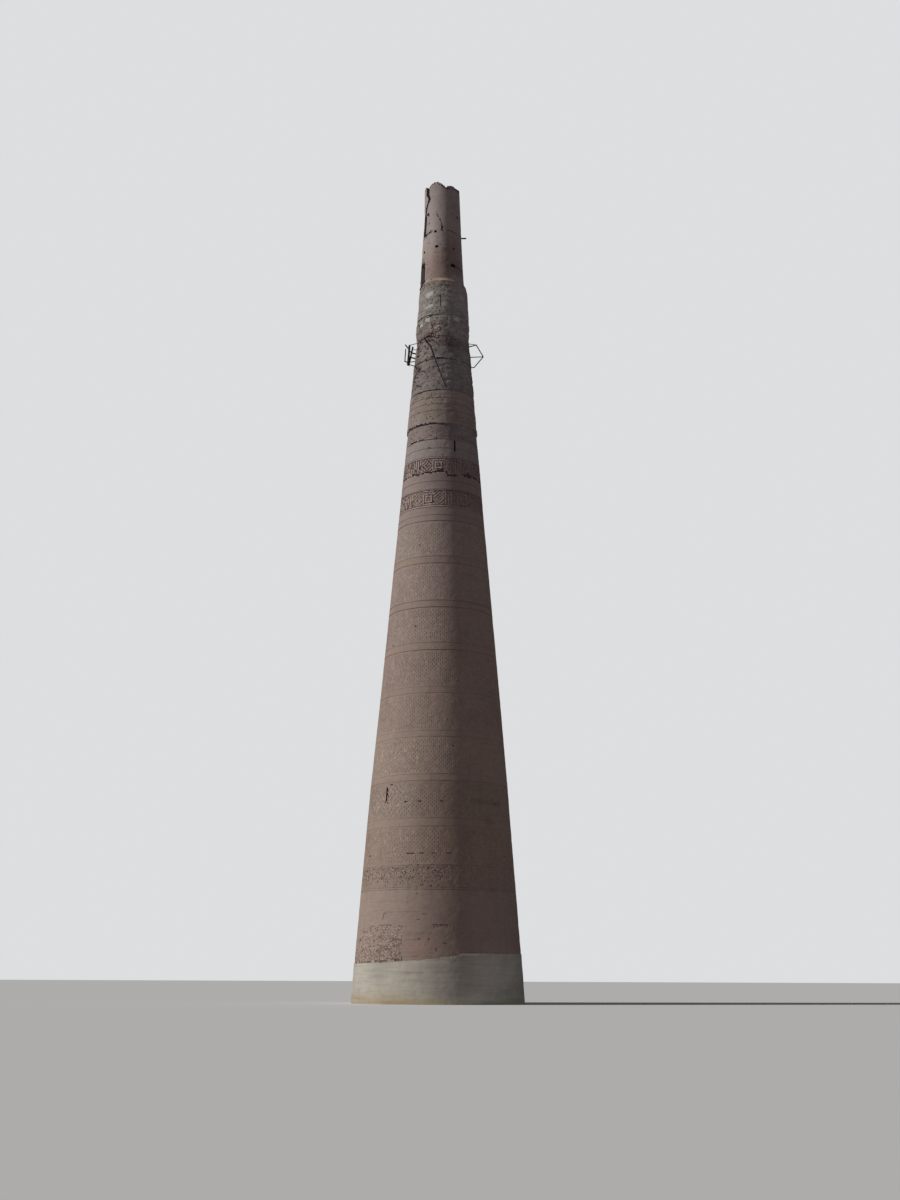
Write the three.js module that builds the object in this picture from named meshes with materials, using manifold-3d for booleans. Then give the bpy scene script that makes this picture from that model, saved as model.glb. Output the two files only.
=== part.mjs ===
// A tall, tapered minaret of baked brick with an open, broken crown, modelled at half its real size.
// Sizes here are those of the real tower, in millimetres, and the whole group is scaled at the end.
// Angles are in degrees about the tower's axis: 0 faces -Y and 90 faces +X.
import * as THREE from "three";
import { mergeVertices } from "three/addons/utils/BufferGeometryUtils.js";
import Module from "manifold-3d";

const wasm = await Module();
wasm.setup();

const modelScale = 1 / 2;
const ringSides = 40;
const seatGap = 0.6;

// Outer face of the shaft as [height, radius], then of the slimmer upper stage
const shaftFace = [
  [0, 5760],
  [3100, 5560],
  [7400, 5235],
  [14200, 4720],
  [20500, 4172],
  [27700, 3556],
  [35140, 2936],
  [42860, 2335],
  [48400, 1950],
  [51600, 1770],
  [51900, 1640],
  [55600, 1460],
  [60000, 1290],
];

// The hollow inside, from the floor to the crown
const hollowFace = [
  [650, 3400],
  [51900, 1130],
  [60000, 900],
];

// Top of the broken crown as [angle, height]
const crownLine = [
  [-180, 59250],
  [-110, 59150],
  [-72, 59300],
  [-50, 59450],
  [-40, 59900],
  [-9, 59950],
  [0, 59400],
  [9, 59500],
  [20, 59750],
  [45, 59600],
  [90, 59350],
  [130, 59650],
  [180, 59250],
];

const slitWindow = { mouth: 280, splay: 900 };
const galleryDoor = { angle: -71.5, width: 930, sill: 51900, head: 53450 };
const skirtReach = 40;
const lipReach = 60;
const ledgeReach = 25;

const finishes = {
  plaster: new THREE.MeshStandardMaterial({ color: 0xb3a894, roughness: 0.95 }),
  stainedPlaster: new THREE.MeshStandardMaterial({ color: 0x9d9484, roughness: 0.95 }),
  brick: new THREE.MeshStandardMaterial({ color: 0x9c8270, roughness: 0.9 }),
  patternedBrick: new THREE.MeshStandardMaterial({ color: 0x937b6b, roughness: 0.92 }),
  carvedBrick: new THREE.MeshStandardMaterial({ color: 0x856f62, roughness: 0.92 }),
  worn: new THREE.MeshStandardMaterial({ color: 0x8c8074, roughness: 0.96 }),
  upperBrick: new THREE.MeshStandardMaterial({ color: 0xa1846f, roughness: 0.9 }),
  iron: new THREE.MeshStandardMaterial({ color: 0x2d2826, roughness: 0.7, metalness: 0.6 }),
  wood: new THREE.MeshStandardMaterial({ color: 0x4a3d33, roughness: 0.9 }),
};

// The courses of masonry from the ground up, each standing on the one before
const courses = [
  { name: "foot_course", top: 650, finish: "stainedPlaster", reach: skirtReach, isFloor: true },
  { name: "plaster_skirt", top: 2950, finish: "plaster", reach: skirtReach },
  { name: "lower_brick_drum", top: 7200, finish: "brick" },
  { name: "lower_frieze", top: 8780, finish: "carvedBrick" },
  { name: "patterned_drum_1", top: 11230, finish: "patternedBrick" },
  { name: "plain_band_1", top: 11800, finish: "brick" },
  { name: "patterned_drum_2_foot", top: 13000, finish: "patternedBrick" },
  {
    name: "patterned_drum_2",
    top: 14000,
    finish: "patternedBrick",
    slitAngle: -46,
    sill: 12950,
    head: 14050,
    isParted: true,
  },
  { name: "patterned_drum_2_head", top: 14230, finish: "patternedBrick" },
  { name: "plain_band_2", top: 14730, finish: "brick" },
  { name: "patterned_drum_3", top: 17200, finish: "patternedBrick" },
  { name: "plain_band_3", top: 17650, finish: "brick" },
  { name: "patterned_drum_4", top: 20200, finish: "patternedBrick" },
  { name: "plain_band_4", top: 20680, finish: "brick" },
  { name: "patterned_drum_5", top: 23200, finish: "patternedBrick" },
  { name: "plain_band_5", top: 23800, finish: "brick" },
  { name: "patterned_drum_6", top: 26250, finish: "patternedBrick" },
  { name: "plain_band_6", top: 26800, finish: "brick" },
  { name: "patterned_drum_7", top: 29450, finish: "patternedBrick" },
  { name: "plain_band_7", top: 30020, finish: "brick" },
  { name: "patterned_drum_8", top: 32580, finish: "patternedBrick" },
  { name: "plain_band_8", top: 33720, finish: "brick" },
  { name: "middle_frieze", top: 34960, finish: "carvedBrick" },
  { name: "plain_band_9", top: 36200, finish: "brick" },
  { name: "upper_frieze", top: 37420, finish: "carvedBrick" },
  { name: "slit_drum", top: 38950, finish: "brick", slitAngle: 19.5, sill: 37950, head: 38850 },
  { name: "pitted_drum", top: 40080, finish: "worn" },
  { name: "toothed_lip", top: 40320, finish: "carvedBrick", reach: lipReach },
  { name: "hooped_drum", top: 42760, finish: "brick", reach: ledgeReach },
  { name: "worn_drum_1", top: 45260, finish: "worn" },
  { name: "worn_drum_2", top: 47100, finish: "worn" },
  { name: "worn_drum_3", top: 48580, finish: "worn", reach: ledgeReach },
  { name: "gallery_drum", top: 51600, finish: "worn" },
  { name: "gallery_ledge", top: 51900, finish: "worn" },
  { name: "upper_shaft_lower", top: 55600, finish: "upperBrick", hasDoor: true },
  { name: "upper_shaft_middle", top: 57600, finish: "upperBrick", isBroken: true },
  { name: "crown_drum", top: 60000, finish: "upperBrick", isBroken: true, isCrown: true },
];

// The gap where the crown's wall has fallen, as [sideways, height] seen from its own angle
const breachAngle = -62;
const breachOutline = [
  [-60, 55900],
  [120, 56300],
  [60, 57200],
  [180, 58000],
  [460, 58600],
  [260, 59300],
  [330, 60400],
  [-420, 60400],
  [-330, 59300],
  [-60, 58600],
  [-260, 58000],
  [-300, 57200],
];

// Iron bars that stand out from the wall on both sides, as [outward, height] of their two ends
const ironFrames = [
  {
    name: "left_iron_frame",
    side: -1,
    bars: [
      { from: [2740, 46850], to: [2790, 45900], radius: 45 },
      { from: [2760, 47200], to: [2500, 46850], radius: 45 },
      { from: [2460, 47120], to: [2560, 45640], radius: 90 },
      { from: [2220, 47010], to: [2490, 45590], radius: 70 },
      { from: [2790, 45900], to: [2545, 45780], radius: 45 },
      { from: [2455, 47180], to: [1500, 47620], radius: 25 },
      { from: [2240, 46840], to: [1500, 46640], radius: 25 },
      { from: [2480, 46730], to: [1700, 46140], radius: 50 },
      { from: [2400, 46260], to: [1700, 45780], radius: 50 },
      { from: [2530, 45800], to: [1500, 46080], radius: 30 },
      { from: [2500, 45680], to: [1700, 45130], radius: 30 },
    ],
  },
  {
    name: "right_iron_frame",
    side: 1,
    bars: [
      { from: [1500, 46760], to: [2490, 47220], radius: 40 },
      { from: [1500, 47470], to: [2490, 47220], radius: 28 },
      { from: [2490, 47220], to: [3010, 46280], radius: 38 },
      { from: [1500, 46180], to: [3010, 46280], radius: 34 },
      { from: [3010, 46280], to: [2340, 45430], radius: 36 },
      { from: [2340, 45430], to: [1500, 45230], radius: 36 },
    ],
  },
];
const barSides = 6;
const woodenPeg = { inner: 1000, outer: 1800, height: 55900, radius: 60 };

const tower = new THREE.Group();
tower.scale.setScalar(modelScale);
courses.forEach((course, i) => {
  course.bottom = i === 0 ? 0 : courses[i - 1].top;
});

// Straight-line reading between the points of a list such as shaftFace
function readAlong(points, at) {
  const next = points.findIndex(([start]) => start >= at);
  if (next < 1) {
    return points[next === 0 ? 0 : points.length - 1][1];
  }
  const [startAt, startValue] = points[next - 1];
  const [endAt, endValue] = points[next];
  return startValue + ((endValue - startValue) * (at - startAt)) / (endAt - startAt);
}

function solidFrom(geometry) {
  const bare = geometry.index ? geometry.toNonIndexed() : geometry.clone();
  bare.deleteAttribute("normal");
  bare.deleteAttribute("uv");
  const merged = mergeVertices(bare, 1e-3);
  return new wasm.Manifold(
    new wasm.Mesh({
      numProp: 3,
      vertProperties: merged.attributes.position.array,
      triVerts: new Uint32Array(merged.index.array),
    }),
  );
}

function geometryFrom(solid) {
  const mesh = solid.getMesh();
  const geometry = new THREE.BufferGeometry();
  geometry.setAttribute("position", new THREE.BufferAttribute(mesh.vertProperties, 3));
  geometry.setIndex(new THREE.BufferAttribute(mesh.triVerts, 1));
  geometry.computeVertexNormals();
  return geometry;
}

function addPiece(name, geometry, finish) {
  const piece = new THREE.Mesh(geometry, finishes[finish]);
  piece.name = name;
  tower.add(piece);
}

// A surface of revolution about Z from [radius, height] points that close on themselves or on the axis
function turned(points) {
  const profile = points.map(([radius, height]) => new THREE.Vector2(radius, height));
  return new THREE.LatheGeometry(profile, ringSides).rotateX(Math.PI / 2);
}

// A course filled to the axis, stood off from its own face where extra is given
function filledCourse({ bottom, top, reach = 0 }, extra = 0) {
  const lowRadius = readAlong(shaftFace, bottom) + reach + extra;
  const highRadius = readAlong(shaftFace, top) + reach + extra;
  return turned([[0, bottom], [lowRadius, bottom], [highRadius, top], [0, top]]);
}

function hollowCourse({ bottom, top, reach = 0 }) {
  const lowRadius = readAlong(shaftFace, bottom) + reach;
  const highRadius = readAlong(shaftFace, top) + reach;
  const lowHollow = readAlong(hollowFace, bottom);
  const highHollow = readAlong(hollowFace, top);
  return turned([
    [lowHollow, bottom],
    [lowRadius, bottom],
    [highRadius, top],
    [highHollow, top],
    [lowHollow, bottom],
  ]);
}

// Lowers the flat top of the crown to its broken line
function breakCrown(geometry, top) {
  const position = geometry.getAttribute("position");
  for (let i = 0; i < position.count; i++) {
    if (position.getZ(i) > top - 1) {
      const angle = THREE.MathUtils.radToDeg(Math.atan2(position.getX(i), -position.getY(i)));
      position.setZ(i, readAlong(crownLine, Math.round(angle)));
    }
  }
}

function turnTo(geometry, angle) {
  return geometry.rotateZ(THREE.MathUtils.degToRad(angle));
}

// A hole through the wall that faces one angle, with its own width at the outer and the inner face
function wallHole(angle, sill, head, outerWidth, innerWidth) {
  const outside = readAlong(shaftFace, sill) + 400;
  const outerFace = readAlong(shaftFace, sill);
  const inside = readAlong(hollowFace, head) * 0.6;
  const plan = new THREE.Shape([
    new THREE.Vector2(-outerWidth / 2, -outside),
    new THREE.Vector2(outerWidth / 2, -outside),
    new THREE.Vector2(outerWidth / 2, -outerFace + 250),
    new THREE.Vector2(innerWidth / 2, -inside),
    new THREE.Vector2(-innerWidth / 2, -inside),
    new THREE.Vector2(-outerWidth / 2, -outerFace + 250),
  ]);
  const hole = new THREE.ExtrudeGeometry(plan, { depth: head - sill, bevelEnabled: false });
  return turnTo(hole.translate(0, 0, sill), angle);
}

// The ragged gap in the crown: its outline stands upright and is pushed through the wall
function breachHole() {
  const outline = new THREE.Shape(breachOutline.map(([side, height]) => new THREE.Vector2(side, height)));
  const depth = readAlong(shaftFace, breachOutline[0][1]) + 400;
  const gap = new THREE.ExtrudeGeometry(outline, { depth, bevelEnabled: false });
  return turnTo(gap.rotateX(Math.PI / 2), breachAngle);
}

// A course that its two slits part from top to bottom is two pieces
function addHalves({ name, finish }, solid) {
  for (const part of solid.decompose()) {
    const { min, max } = part.boundingBox();
    const sideName = min[0] + max[0] < 0 ? "left" : "right";
    addPiece(`${name}_${sideName}`, geometryFrom(part), finish);
  }
}

function buildCourses() {
  for (const course of courses) {
    const geometry = course.isFloor ? filledCourse(course) : hollowCourse(course);
    if (course.isCrown) {
      breakCrown(geometry, course.top);
    }
    let solid = solidFrom(geometry);
    if (course.slitAngle !== undefined) {
      for (const angle of [course.slitAngle, course.slitAngle + 180]) {
        const hole = wallHole(angle, course.sill, course.head, slitWindow.mouth, slitWindow.splay);
        solid = solid.subtract(solidFrom(hole));
      }
    }
    if (course.hasDoor) {
      const { angle, sill, head, width } = galleryDoor;
      solid = solid.subtract(solidFrom(wallHole(angle, sill, head, width, width)));
    }
    if (course.isBroken) {
      solid = solid.subtract(solidFrom(breachHole()));
    }
    if (course.isParted) {
      addHalves(course, solid);
    } else {
      addPiece(course.name, geometryFrom(solid), course.finish);
    }
  }
}

// A straight bar between two points in the upright plane through the axis
function barBetween(side, [fromOut, fromHeight], [toOut, toHeight], radius) {
  const start = new THREE.Vector3(side * fromOut, 0, fromHeight);
  const end = new THREE.Vector3(side * toOut, 0, toHeight);
  const along = end.clone().sub(start);
  const bar = new THREE.CylinderGeometry(radius, radius, along.length() + radius, barSides);
  const turn = new THREE.Quaternion().setFromUnitVectors(new THREE.Vector3(0, 1, 0), along.normalize());
  return bar.applyQuaternion(turn).translate(...start.add(end).multiplyScalar(0.5));
}

// The wall that a bar is let into, stood off by the gap that keeps the pieces from touching
function wallForBars(low, high) {
  const carrying = courses.filter(({ bottom, top }) => top > low && bottom < high);
  return carrying
    .map((course) => solidFrom(filledCourse(course, seatGap)))
    .reduce((sum, solid) => sum.add(solid));
}

function buildIronFrames() {
  for (const { name, side, bars } of ironFrames) {
    const solids = bars.map(({ from, to, radius }) => solidFrom(barBetween(side, from, to, radius)));
    const joined = solids.reduce((sum, solid) => sum.add(solid));
    addPiece(name, geometryFrom(joined.subtract(wallForBars(45000, 48000))), "iron");
  }
}

function buildPeg() {
  const { inner, outer, height, radius } = woodenPeg;
  const peg = solidFrom(barBetween(1, [inner, height], [outer, height], radius));
  addPiece("wooden_peg", geometryFrom(peg.subtract(wallForBars(height, height + radius))), "wood");
}

buildCourses();
buildIronFrames();
buildPeg();

export default tower;
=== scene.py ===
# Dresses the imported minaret: brickwork, render, carved bands, wear, iron and wood
import bisect
import math
import random

import bmesh
import bpy
from mathutils import Matrix, Vector, noise


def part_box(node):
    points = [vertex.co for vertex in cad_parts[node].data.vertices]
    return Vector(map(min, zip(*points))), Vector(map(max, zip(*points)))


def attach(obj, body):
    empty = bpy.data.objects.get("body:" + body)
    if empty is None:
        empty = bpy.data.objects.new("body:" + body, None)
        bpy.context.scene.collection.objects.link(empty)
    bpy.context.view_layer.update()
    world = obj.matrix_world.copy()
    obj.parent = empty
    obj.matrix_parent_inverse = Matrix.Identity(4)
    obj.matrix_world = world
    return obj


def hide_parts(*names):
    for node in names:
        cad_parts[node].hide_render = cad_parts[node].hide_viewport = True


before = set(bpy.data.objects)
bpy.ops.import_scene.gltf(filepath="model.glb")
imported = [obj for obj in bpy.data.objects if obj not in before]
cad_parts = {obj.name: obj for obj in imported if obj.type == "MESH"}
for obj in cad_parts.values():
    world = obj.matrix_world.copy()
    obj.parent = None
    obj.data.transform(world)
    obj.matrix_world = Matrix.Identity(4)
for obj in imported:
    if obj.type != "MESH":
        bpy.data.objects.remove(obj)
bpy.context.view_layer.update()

# Heights and sizes in the settings are the real tower's, in metres, and the model is half that size.
# Angles are in degrees about the axis: 0 faces the camera and 90 is the right-hand side.
half = 0.5
brick = {"length": 0.27, "course": 0.0675, "columns": 4, "bevel": 0.004}
tolerance = 1e-5
faceDepth, middleDepth = 0.1, 0.5


def angleOf(co):
    return math.degrees(math.atan2(co.x, -co.y))


def turnBetween(a, b):
    return (a - b + 180) % 360 - 180


# The length round a wall of this radius that an angle spans
def arc(angle, radius):
    return math.radians(angle) * radius


def readAlong(points, at):
    spot = bisect.bisect([p[0] for p in points], at)
    if spot == 0 or spot == len(points):
        return points[min(spot, len(points) - 1)][1]
    (a, low), (b, high) = points[spot - 1 : spot + 1]
    return low + (high - low) * (at - a) / (b - a)


def clamp(value):
    return max(0, min(1, value))


def shade(tint, factor):
    return tuple(channel * factor for channel in tint)


# A value from about -1 to 1 that wanders with the angle, the quicker the higher the pace
def wander(angle, pace, place, seed=0):
    return noise.noise(Vector((angle * pace, place, seed)))


def crumple(spot, octaves=3):
    return noise.fractal(spot, 1, 2, octaves)


def addToScene(name, data):
    thing = bpy.data.objects.new(name, data)
    bpy.context.collection.objects.link(thing)
    return thing


# How cells of a wall are sunk: the depth, the look of their faces and the width of the sloped edge
def sunk(depth, look=None, edge=brick["bevel"]):
    return {"depth": depth, "look": look, "edge": edge}


# Sizes of a ring of masonry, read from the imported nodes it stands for
def ringSizes(nodes):
    boxes = [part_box(node) for node in nodes]
    bottom = min(low.z for low, high in boxes)
    top = max(high.z for low, high in boxes)
    corners = [v.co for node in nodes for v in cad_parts[node].data.vertices]
    foot = [math.hypot(c.x, c.y) for c in corners if c.z < bottom + tolerance]
    head = [math.hypot(c.x, c.y) for c in corners if c.z > top - tolerance]
    middle = (max(foot) + max(head)) / 2
    return {
        "bottom": bottom,
        "top": top,
        "outer": (max(foot), max(head)),
        "inner": (min(foot), min(head)),
        "bricks": round(2 * math.pi * middle / (brick["length"] * half)),
    }


def radiusAt(ring, z, side="outer"):
    share = (z - ring["bottom"]) / (ring["top"] - ring["bottom"])
    low, high = ring[side]
    return low + share * (high - low)


# Heights of the rows of a wall as (height, depth), with each groove cut square into the face.
# A groove of no depth only gives a thin row, for small holes.
def rowLines(ring, grooves, rowHeight):
    bottom, top = ring["bottom"], ring["top"]
    count = max(1, round((top - bottom) / (rowHeight * half)))
    plain = [bottom + i * (top - bottom) / count for i in range(count + 1)]
    thinnest = rowHeight * half * 0.3
    lines = []
    for z in plain:
        isFree = all(abs(z - at * half) > tall * half / 2 + thinnest for at, tall, deep in grooves)
        if isFree or z in (bottom, top):
            lines.append((z, 0))
    for at, tall, deep in grooves:
        low, high = max(bottom, (at - tall / 2) * half), min(top, (at + tall / 2) * half)
        lines = [line for line in lines if not low - tolerance <= line[0] <= high + tolerance]
        cut = deep * half
        if cut:
            lines += [(low, 0)] * (low > bottom) + [(low, cut), (high, cut)] + [(high, 0)] * (high < top)
        else:
            lines += [(low, 0), (high, 0)]
    order = {line: i for i, line in enumerate(lines)}
    return sorted(lines, key=lambda line: (line[0], order[line]))


def spinProfile(points, closed, steps):
    mesh = bmesh.new()
    corners = [mesh.verts.new((0, radius, z)) for radius, z in points]
    pairs = list(zip(corners, corners[1:] + (corners[:1] if closed else [])))
    edges = [mesh.edges.new(pair) for pair in pairs]
    bmesh.ops.spin(
        mesh, geom=corners + edges, cent=(0, 0, 0), axis=(0, 0, 1), dvec=(0, 0, 0),
        angle=2 * math.pi, steps=steps, use_merge=True, use_duplicate=False,
    )
    bmesh.ops.remove_doubles(mesh, verts=mesh.verts, dist=tolerance)
    bmesh.ops.recalc_face_normals(mesh, faces=mesh.faces)
    return mesh


# Stains and painted light and shade: (angle, height, reach in degrees, reach in height, colour that
# multiplies the wall's own). The entries marked below are painted light and shade; the others are stains.
stainsAndPaintedLight = [
    (-60, 0.12, 55, 0.5, (0.92, 0.84, 0.74)),
    (-10, 0.05, 30, 0.3, (0.95, 0.88, 0.78)),
    (-35, 0.45, 60, 0.6, (0.985, 0.965, 0.92)),
    # Painted light: the shaded side of the render made lighter, as bounce light from the ground
    (55, 1.2, 52, 2.6, (1.24, 1.30, 1.32)),
    (-30, 7.55, 60, 0.3, (0.92, 0.92, 0.92)),
    # Painted light: the shaded side of the foot made lighter, as bounce light from the ground
    (50, 0.1, 70, 0.6, (1.2, 1.28, 1.22)),
    (178, 0.15, 70, 0.55, (0.88, 0.80, 0.70)),
    (2, 8.5, 26, 12, (0.84, 0.82, 0.83)),
    (-4, 2.62, 12, 0.06, (1.22, 1.22, 1.24)),
    (-66, 2.5, 14, 0.08, (1.1, 1.1, 1.1)),
    (21, 3.08, 10, 0.07, (1.3, 1.25, 1.25)),
    (-20, 1.95, 14, 0.09, (0.88, 0.88, 0.9)),
    (-34, 2.15, 8, 0.06, (1.1, 1.1, 1.08)),
    (2.2, 4.72, 5, 0.08, (1.14, 1.1, 1.07)),
    (-12, 3.5, 14, 0.8, (1.06, 0.98, 0.98)),
    (42, 12.95, 20, 0.24, (0.84, 0.82, 0.80)),
    (43, 11.65, 7, 0.22, (0.82, 0.80, 0.78)),
    (3.5, 13.1, 5, 0.5, (1.0, 0.93, 0.91)),
    # Painted light: the shaded side of the upper drums made lighter and greyer, as sky light
    (40, 47.3, 60, 6.5, (1.34, 1.46, 1.52)),
    # Painted light: the shaded side of the pitted drum made lighter and greyer, as sky light
    (42, 39.6, 34, 0.55, (1.12, 1.32, 1.3)),
    (5, 39.5, 18, 0.8, (0.86, 0.84, 0.83)),
    (25, 35.6, 40, 1.0, (0.88, 0.90, 0.91)),
    (-42, 34.4, 15, 0.7, (1.16, 1.15, 1.10)),
    (20, 37.4, 3, 0.5, (0.85, 0.85, 0.85)),
    (24, 46.6, 44, 0.5, (0.72, 0.64, 0.61)),
    (-36, 47.1, 18, 0.5, (0.66, 0.60, 0.58)),
    (20, 46.2, 10, 0.5, (0.78, 0.78, 0.78)),
    (-62, 45.3, 8, 0.8, (0.66, 0.72, 0.60)),
    (-15, 46.95, 11, 0.26, (1.2, 1.04, 1.03)),
    (-38, 45.9, 20, 0.45, (1.14, 1.14, 1.12)),
    (5, 47.9, 11, 0.6, (0.85, 0.80, 0.80)),
    (-19, 47.95, 13, 0.5, (1.3, 1.22, 1.24)),
    (-12, 50.3, 9, 1.0, (0.88, 0.88, 0.88)),
    (15, 50.75, 8, 0.12, (0.66, 0.62, 0.62)),
    (14, 50.3, 8, 0.1, (0.72, 0.68, 0.66)),
    (4, 51.22, 20, 0.16, (0.74, 0.78, 0.72)),
    (6, 49.72, 9, 0.14, (1.14, 1.12, 1.10)),
    (30, 49.1, 40, 0.3, (0.82, 0.78, 0.76)),
    (-20, 51.74, 50, 0.14, (1.12, 1.11, 1.09)),
    (-2, 51.68, 14, 0.12, (1.26, 1.22, 1.21)),
    (-31, 51.53, 9, 0.12, (1.22, 1.23, 1.23)),
    (-36, 52.2, 9, 0.16, (1.1, 1.11, 1.08)),
    (14, 52.15, 18, 0.3, (0.91, 0.84, 0.85)),
    # Painted shade where the light falls off on the worn drum, with some darker mottling
    (-8, 44.6, 9, 0.8, (0.88, 0.87, 0.87)),
    (6, 43.1, 14, 0.25, (0.86, 0.84, 0.84)),
    # Painted shade: the sunlit left side of the hooped drum made darker
    (-45, 41.6, 36, 1.1, (0.93, 0.93, 0.93)),
    # Painted light: the sunlit side of the upper stage made lighter
    (-30, 55.4, 13, 3.0, (1.14, 1.18, 1.18)),
    (-10, 52.8, 60, 2.0, (0.90, 0.785, 0.715)),
    # Painted shade just past the edge of the light on the upper stage
    (12, 54.0, 15, 2.4, (0.78, 0.75, 0.77)),
    # Painted shade on the shaded side of the upper stage
    (48, 52.8, 36, 0.9, (0.72, 0.70, 0.72)),
    (12, 52.6, 10, 0.6, (1.05, 0.93, 0.92)),
    (-57, 54.3, 12, 0.55, (1.06, 1.04, 0.88)),
    # Painted shade: the shaded side of the upper stage made darker
    (40, 54.0, 34, 2.3, (0.74, 0.65, 0.67)),
    (42, 57.8, 34, 1.6, (0.88, 0.86, 0.88)),
    # Painted shade along the broken top of the crown
    (30, 59.75, 26, 0.1, (0.55, 0.5, 0.5)),
    (3, 59.8, 6, 0.12, (0.55, 0.5, 0.5)),
    (150, 47.6, 60, 1.5, (0.75, 0.66, 0.6)),
    (120, 52.5, 60, 0.5, (1.0, 0.88, 0.80)),
    (-160, 45.6, 30, 0.6, (1.2, 1.2, 1.18)),
]


# Small blots of stain and of painted light and shade have ragged edges, and tall ones fade out slowly
blotEdge = {"tall": 1.5, "start": 1.15, "ragged": (0.5, 0.15), "fade": (0.45, 1), "end": 1.7, "grain": 0.35}


def stainAndPaintedLightAt(near, angle, height, wobble):
    colour = [1, 1, 1]
    for middle, z, reachAngle, reachHeight, tint in near:
        across = turnBetween(angle, middle) / reachAngle
        up = (height - z) / reachHeight
        soft = clamp(reachHeight / blotEdge["tall"])
        ragged, fade = (low + (high - low) * soft for low, high in (blotEdge["ragged"], blotEdge["fade"]))
        amount = clamp((blotEdge["start"] + ragged * wobble - math.hypot(across, up)) / fade)
        for i in range(3):
            colour[i] *= 1 + (tint[i] - 1) * amount
    return colour


# How far the tower drifts off its axis to the right, and its sides bulge or sink, by height
outline = {
    "lean": [
        (12, 0), (16, 0.02), (20, 0.045), (30, 0.052), (37, 0.085), (43, 0.075), (49, 0.085), (51.3, 0.085),
        (51.9, 0.02), (53, 0),
    ],
    "left": [
        (37, 0), (39, 0.02), (40, 0.04), (40.8, -0.02), (41.2, 0.01), (43.5, 0.005), (44.5, 0.025),
        (45, 0.03), (46.5, 0.08), (47.1, 0.13), (47.45, 0.09), (47.95, 0), (48.4, -0.01), (50.4, 0.02),
        (50.9, -0.005), (51.2, 0.01), (51.7, 0.04), (52.1, -0.005), (52.6, 0.005), (53.6, 0.01),
        (54.3, 0.015), (54.8, 0.005), (55.6, 0.015), (56.1, 0.025), (56.6, 0.05), (57.6, 0.05),
        (58.1, 0.01), (58.6, -0.01), (59.1, -0.028), (59.6, -0.05),
    ],
    "right": [
        (31.5, 0), (33, 0.028), (37.4, 0.02), (39.7, 0.045), (41, 0.025), (41.4, 0.01), (41.8, 0.045),
        (42.6, 0.02), (43, -0.015), (44.2, -0.015), (44.6, 0.01), (46, 0.01), (46.5, 0.035), (47, 0.06),
        (47.5, 0.085), (48, 0.015), (49, -0.03), (51.3, -0.045), (51.8, 0), (52.5, 0),
    ],
}


# One value in each block of a rough masonry, from -1 to 1, with wavy joints
def blockNoise(co, wide, tall):
    reach = math.hypot(co.x, co.y)
    spot = Vector((math.atan2(co.x, -co.y) * reach / half / wide, co.z / half / tall, 0.3))
    spot.x += 0.5 * noise.cell(Vector((0.5, math.floor(spot.y) + 0.5, 3.5)))
    wave = 0.25 * noise.noise_vector(spot * 1.3)
    return noise.cell(spot + wave)


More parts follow.
